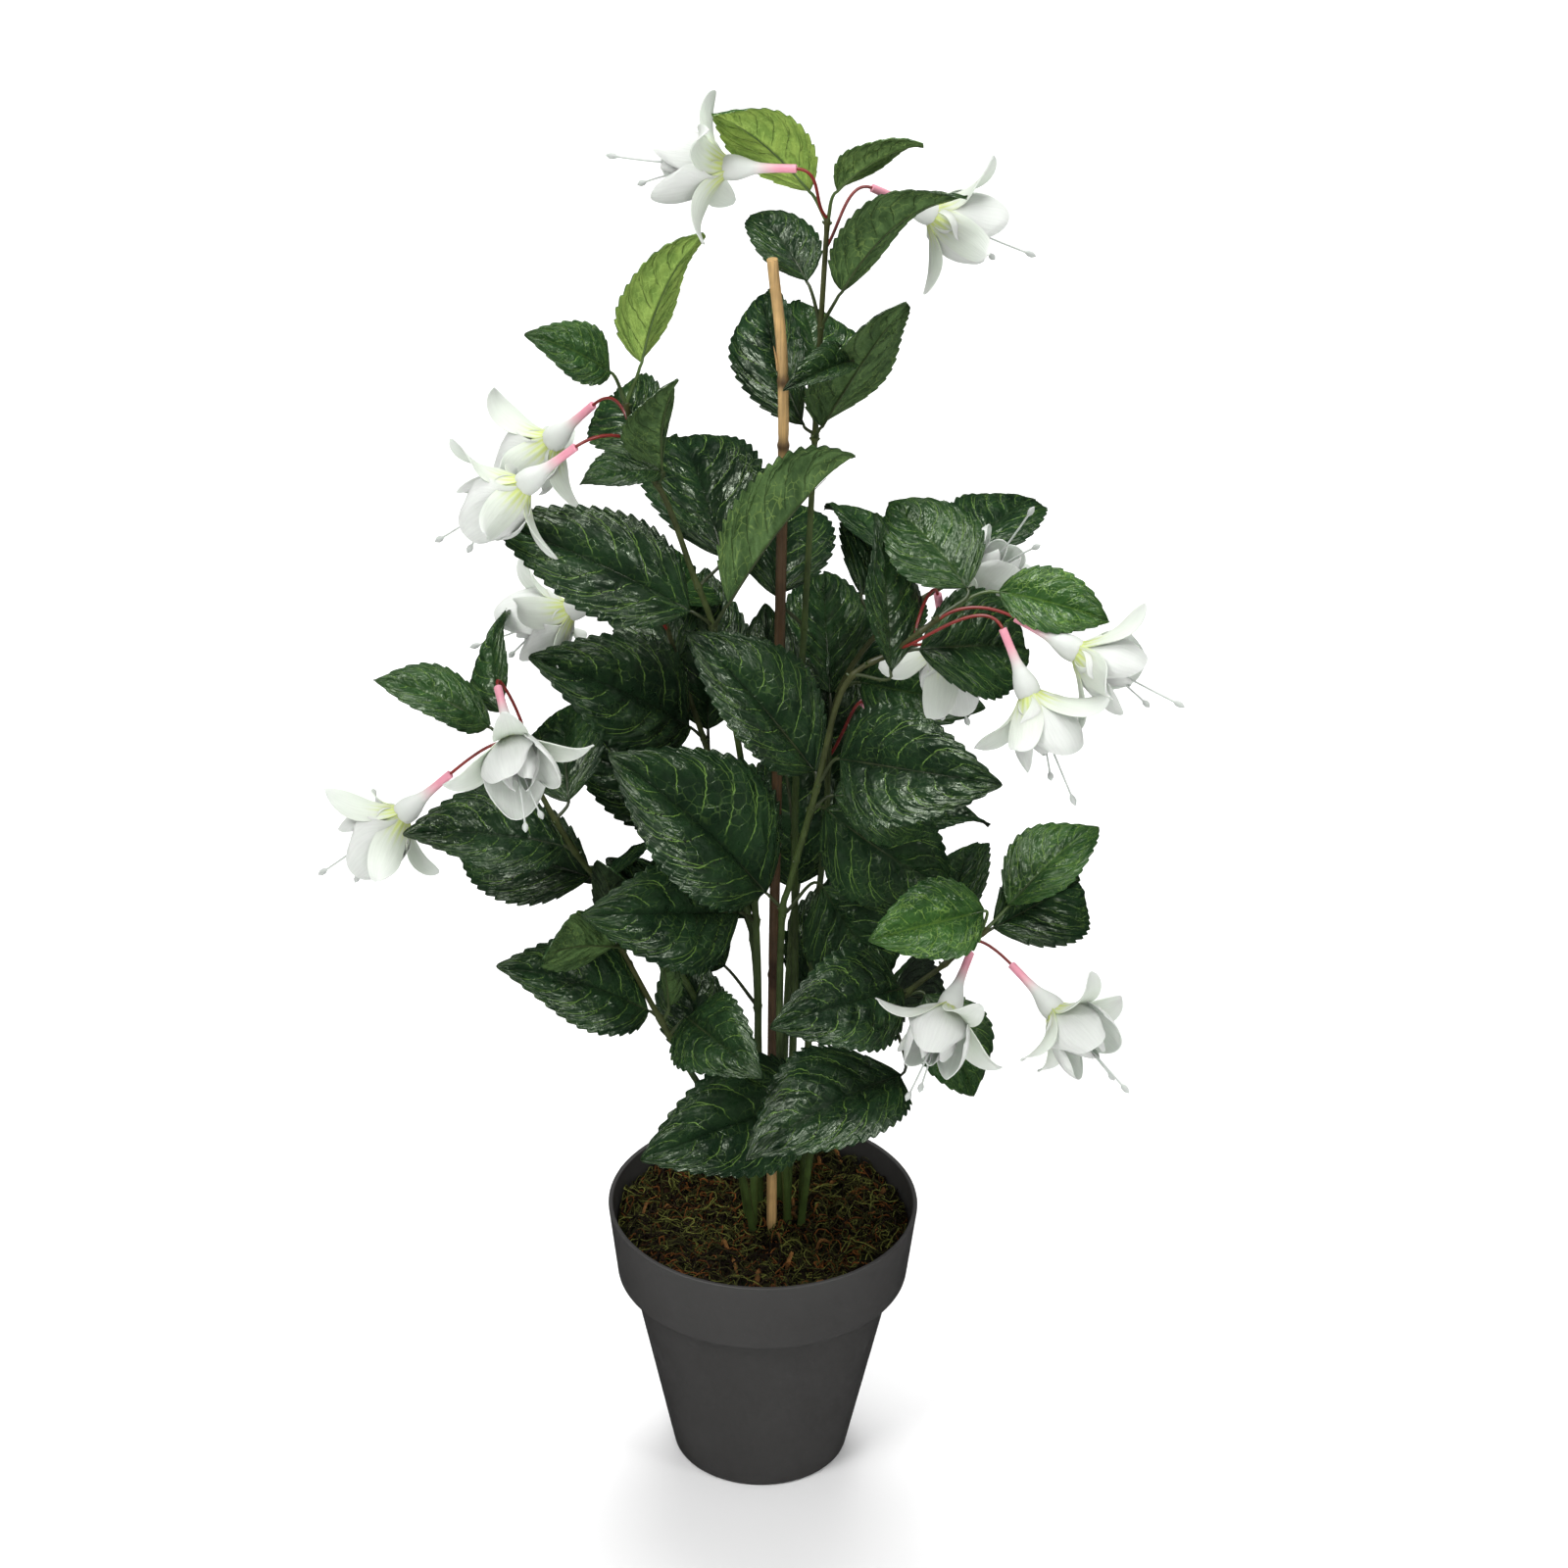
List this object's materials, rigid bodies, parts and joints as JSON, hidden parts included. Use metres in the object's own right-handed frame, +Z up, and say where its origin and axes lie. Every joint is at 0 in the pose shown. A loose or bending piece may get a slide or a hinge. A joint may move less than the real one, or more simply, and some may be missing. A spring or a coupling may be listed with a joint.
{
  "type": "potted fuchsia",
  "caption": "White fuchsia in a round dark plastic pot: leafy stems and hanging blooms grow round a bamboo cane through a bed of moss.",
  "frame": {"origin": "centre of the pot's flat underside, on the surface that it stands on", "axes": "+Z up along the pot's axis; +X to the right and -Y towards the viewer as the plant is usually seen"},
  "size_m": [0.4264, 0.3085, 0.774],
  "materials": {
    "pot": "moulded dark grey plastic, low sheen",
    "filler": "rough cast block",
    "moss": "dry fibrous moss, brown with olive and orange threads",
    "cane": "smooth bamboo with dark nodes",
    "foliage": "dark green leaves with a soft sheen and pale veins",
    "petals": "matt white petals, green-yellow at their foot",
    "stalks": "dark red, smooth"
  },
  "bodies": {
    "root": {"pot": "pot", "filler": "filler", "moss": "moss", "cane": "cane", "stem_crown": "foliage", "stem_left_high": "foliage", "stem_front": "foliage", "stem_left_mid": "foliage", "stem_left_low": "foliage", "stem_right_low": "foliage", "stem_right_high": "foliage", "stem_left_back": "foliage", "stem_back": "foliage", "bloom_crown_left": "petals", "stalk_crown_left": "stalks", "bloom_crown_right": "petals", "stalk_crown_right": "stalks", "bloom_high_left_a": "petals", "stalk_high_left_a": "stalks", "bloom_high_left_b": "petals", "stalk_high_left_b": "stalks", "bloom_back_left": "petals", "stalk_back_left": "stalks", "bloom_left_tip": "petals", "stalk_left_tip": "stalks", "bloom_left_face": "petals", "stalk_left_face": "stalks", "bloom_right_up": "petals", "stalk_right_up": "stalks", "bloom_right_out": "petals", "stalk_right_out": "stalks", "bloom_right_down": "petals", "stalk_right_down": "stalks", "bloom_right_back": "petals", "stalk_right_back": "stalks", "bloom_low_front": "petals", "stalk_low_front": "stalks", "bloom_low_right": "petals", "stalk_low_right": "stalks", "bloom_back_right": "petals", "stalk_back_right": "stalks"}
  },
  "joints": []
}
